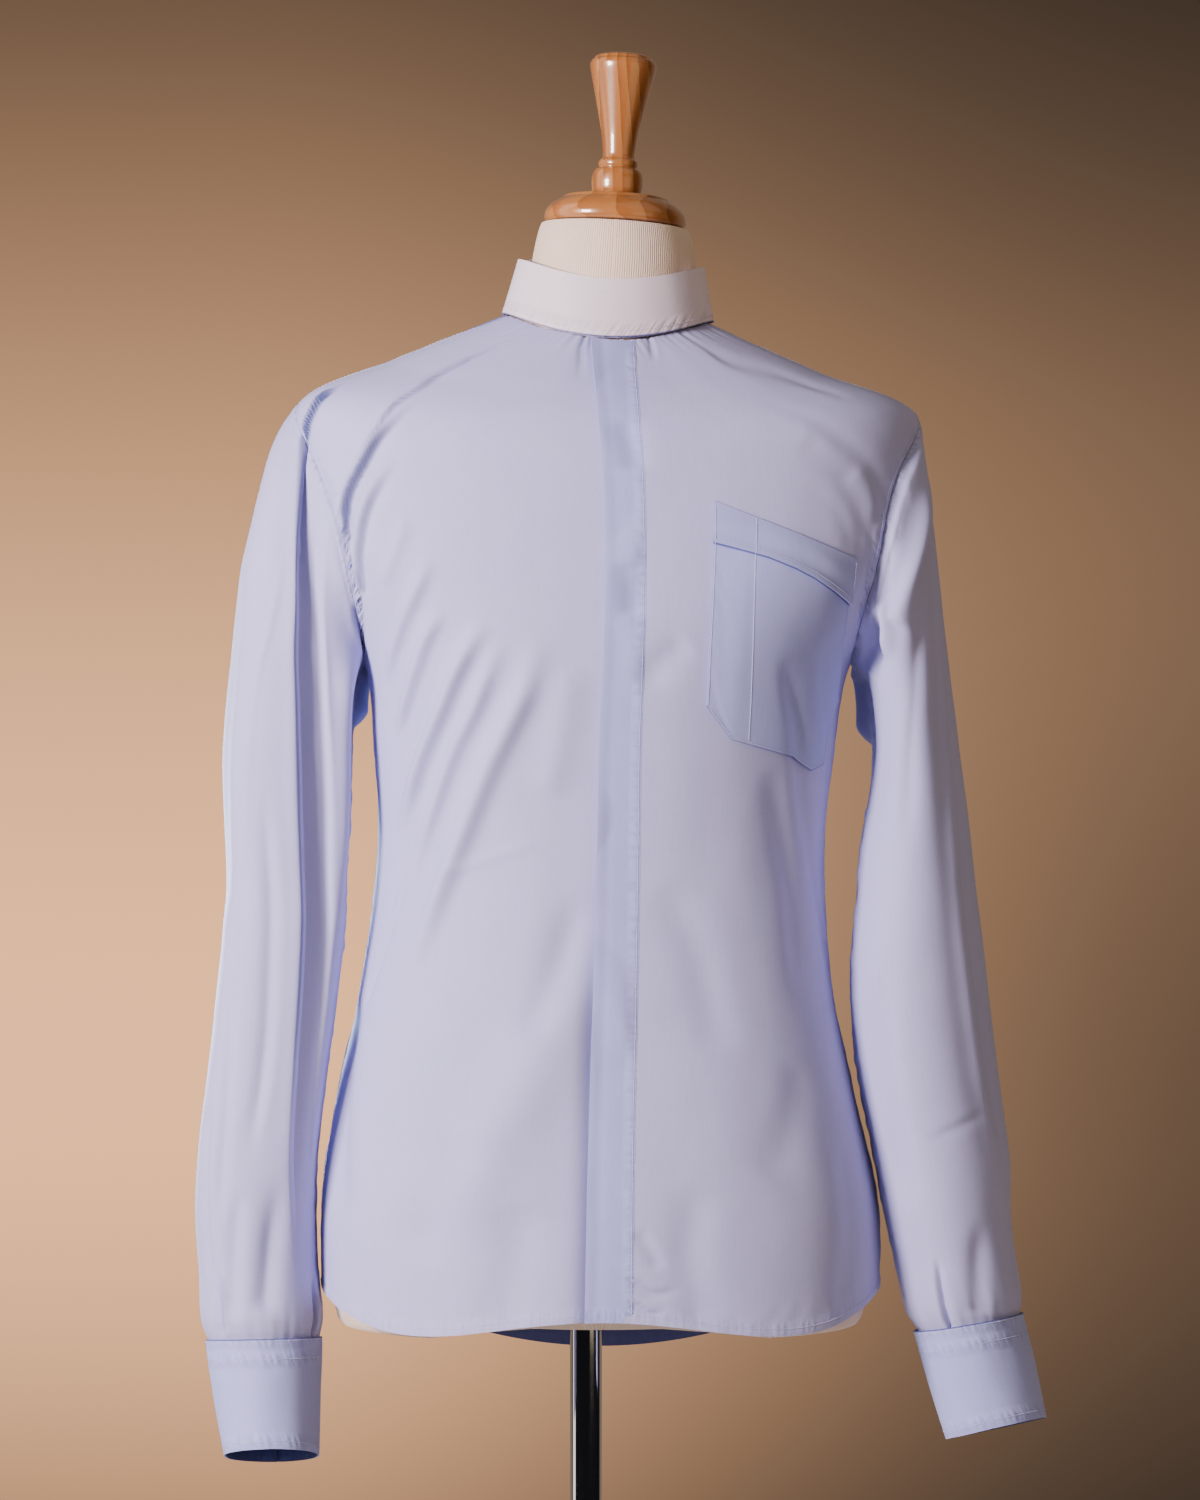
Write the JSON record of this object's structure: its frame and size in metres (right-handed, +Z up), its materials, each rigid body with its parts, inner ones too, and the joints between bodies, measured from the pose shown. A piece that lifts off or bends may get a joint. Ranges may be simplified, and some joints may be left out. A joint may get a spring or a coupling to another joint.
{
  "type": "clergy shirt on a limbless dress form",
  "caption": "Long-sleeved clergy shirt with a white full-band collar, fly front and chest pocket, on a jersey dress form with a turned wood cap and a pole stand",
  "frame": {"origin": "the middle of the base plate's underside, on the floor, straight below the pole", "axes": "+Z up along the pole; the shirt's front faces -Y; +X is the wearer's left, the side of the chest pocket"},
  "size_m": [0.5896, 0.33, 1.4878],
  "materials": {
    "shirt_blue": "fine pale blue poplin, soft satin sheen",
    "shirt_double": "the same poplin, folded double, so deeper in colour",
    "collar_white": "starched white cotton",
    "stud": "polished",
    "button": "pearly",
    "jersey": "cream rib-knit jersey over a firm form",
    "wood": "honey-coloured, turned and varnished glossy",
    "chrome": "polished",
    "plate": "satin"
  },
  "bodies": {
    "root": {"front_right": "shirt_blue", "front_left": "shirt_blue", "back": "shirt_blue", "yoke": "shirt_blue", "sleeve_right": "shirt_blue", "sleeve_left": "shirt_blue", "placket": "shirt_double", "pocket": "shirt_double", "pocket_band": "shirt_double", "cuff_right": "shirt_double", "cuff_left": "shirt_double", "sleeve_placket_right": "shirt_double", "sleeve_placket_left": "shirt_double", "neckband": "shirt_double", "clerical_collar": "collar_white", "collar_stud": "stud", "cuff_button_right": "button", "cuff_button_left": "button", "form_torso": "jersey", "neck_cap": "wood", "finial": "wood", "pole": "chrome", "base_plate": "plate"}
  },
  "joints": []
}
